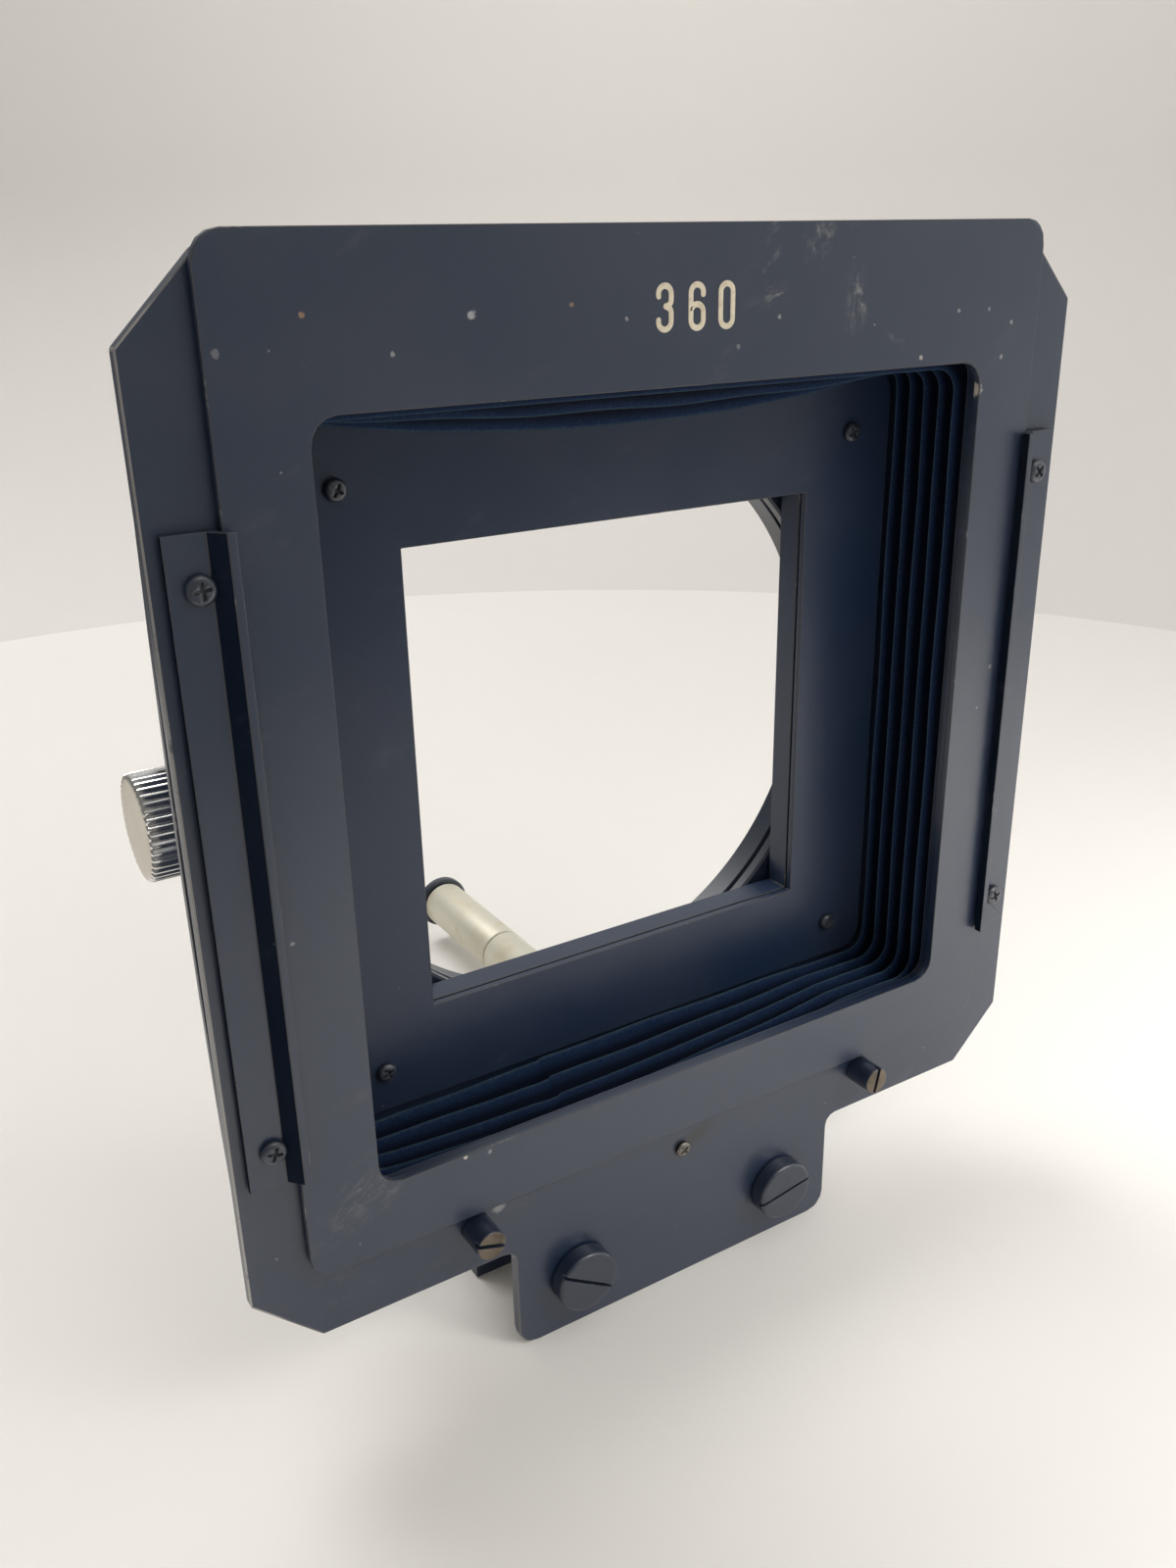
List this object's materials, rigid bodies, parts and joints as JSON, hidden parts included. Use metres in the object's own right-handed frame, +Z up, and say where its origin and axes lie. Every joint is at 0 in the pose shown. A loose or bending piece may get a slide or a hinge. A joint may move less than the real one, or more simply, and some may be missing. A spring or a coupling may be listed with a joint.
{
  "type": "bellows lens hood",
  "caption": "Square bellows lens hood: a framed drop-in mask slides on two rods in front of a rotating lens adapter ring held by a knurled clamp knob.",
  "frame": {"origin": "on the floor under the middle of the object's box", "axes": "+Z up, +Y back along the rods from the mask towards the camera, +X to the right as seen from in front of the mask"},
  "size_m": [0.1136, 0.1082, 0.1297],
  "materials": {
    "black_paint": "satin, a little worn at the edges",
    "black_anodised": "satin black anodised",
    "black_steel": "blackened",
    "chrome": "polished with a satin end face",
    "satin_chrome": "satin",
    "worn_brass": "blackened and worn bright on the faces",
    "brass": "turned",
    "spring_steel": "bright",
    "bellows_cloth": "matt black cloth, pleated",
    "nylon": "moulded"
  },
  "bodies": {
    "rear": {"rear_frame": "black_paint", "aperture_plate": "black_paint", "plate_screw_lower_left": "black_steel", "plate_screw_upper_left": "black_steel", "plate_screw_lower_right": "black_steel", "plate_screw_upper_right": "black_steel", "ring_housing": "black_anodised", "housing_screw_1": "black_steel", "housing_screw_2": "black_steel", "housing_screw_3": "black_steel", "housing_screw_4": "black_steel", "rod_carriage": "black_paint", "carriage_screw_left": "black_steel", "carriage_screw_right": "black_steel", "rod_bush_front_left": "brass", "rod_bush_front_right": "brass", "rod_bush_rear_left": "brass", "rod_bush_rear_right": "brass", "friction_pad_left": "nylon", "friction_pad_right": "nylon", "pad_spring": "spring_steel", "bellows": "bellows_cloth"},
    "front": {"front_frame": "black_paint", "backing_frame": "black_paint", "guide_strip_left": "black_paint", "guide_strip_right": "black_paint", "strip_screw_lower_left": "black_steel", "strip_screw_upper_left": "black_steel", "strip_screw_lower_right": "black_steel", "strip_screw_upper_right": "black_steel", "stop_pin_left": "worn_brass", "stop_pin_right": "worn_brass", "centre_screw": "worn_brass", "rod_screw_left": "black_anodised", "rod_screw_right": "black_anodised", "rod_left": "satin_chrome", "rod_right": "satin_chrome", "rod_extension_left": "satin_chrome", "rod_extension_right": "satin_chrome", "rod_stop_left": "black_anodised", "rod_stop_right": "black_anodised"},
    "mask": {"mask_plate": "black_paint"},
    "adapter": {"adapter_ring": "black_anodised"},
    "shoe": {"clamp_shoe": "nylon"},
    "knob": {"clamp_knob": "chrome", "clamp_screw": "spring_steel"}
  },
  "joints": [
    {"name": "bellows_extension", "type": "slide", "parent": "rear", "child": "front", "axis": [0, -1, 0], "range_m": [-0.003, 0.045], "deforming": ["bellows"]},
    {"name": "mask_slide", "type": "slide", "parent": "front", "child": "mask", "axis": [0, 0, 1], "range_m": [0, 0.107]},
    {"name": "adapter_turn", "type": "hinge", "parent": "rear", "child": "adapter", "pos_m": [0, -0.0292, 0.0717], "axis": [0, 1, 0], "continuous": true},
    {"name": "shoe_slide", "type": "slide", "parent": "rear", "child": "shoe", "axis": [-1, 0, 0], "range_m": [0, 0.0005]},
    {"name": "knob_turn", "type": "hinge", "parent": "shoe", "child": "knob", "pos_m": [-0.0502, -0.03025, 0.0717], "axis": [-1, 0, 0], "range_deg": [0, 360]}
  ],
  "couplings": [
    {"joint": "knob_turn", "follows": "shoe_slide", "rad_per_m": 12566}
  ]
}
